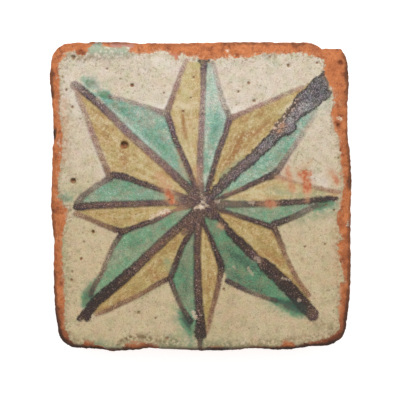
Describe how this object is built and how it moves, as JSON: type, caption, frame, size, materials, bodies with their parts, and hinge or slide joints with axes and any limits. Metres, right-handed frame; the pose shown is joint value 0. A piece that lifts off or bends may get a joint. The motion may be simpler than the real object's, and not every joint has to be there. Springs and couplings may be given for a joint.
{
  "type": "majolica tile",
  "caption": "Hand-made square earthenware tile with undercut sides, a worn clay margin and a tin-glazed face painted with a pointed star, for facing a wall or floor.",
  "frame": {"origin": "middle of the bedding face, under the middle of the tile", "axes": "+Z out of the glazed face, +Y up the face as the star is seen, +X across it"},
  "size_m": [0.1364, 0.1399, 0.018],
  "materials": {
    "glazed_earthenware": "satin tin glaze painted in green, ochre and manganese brown, worn to bare orange clay along the edges"
  },
  "bodies": {
    "root": {"tile": "glazed_earthenware"}
  },
  "joints": []
}
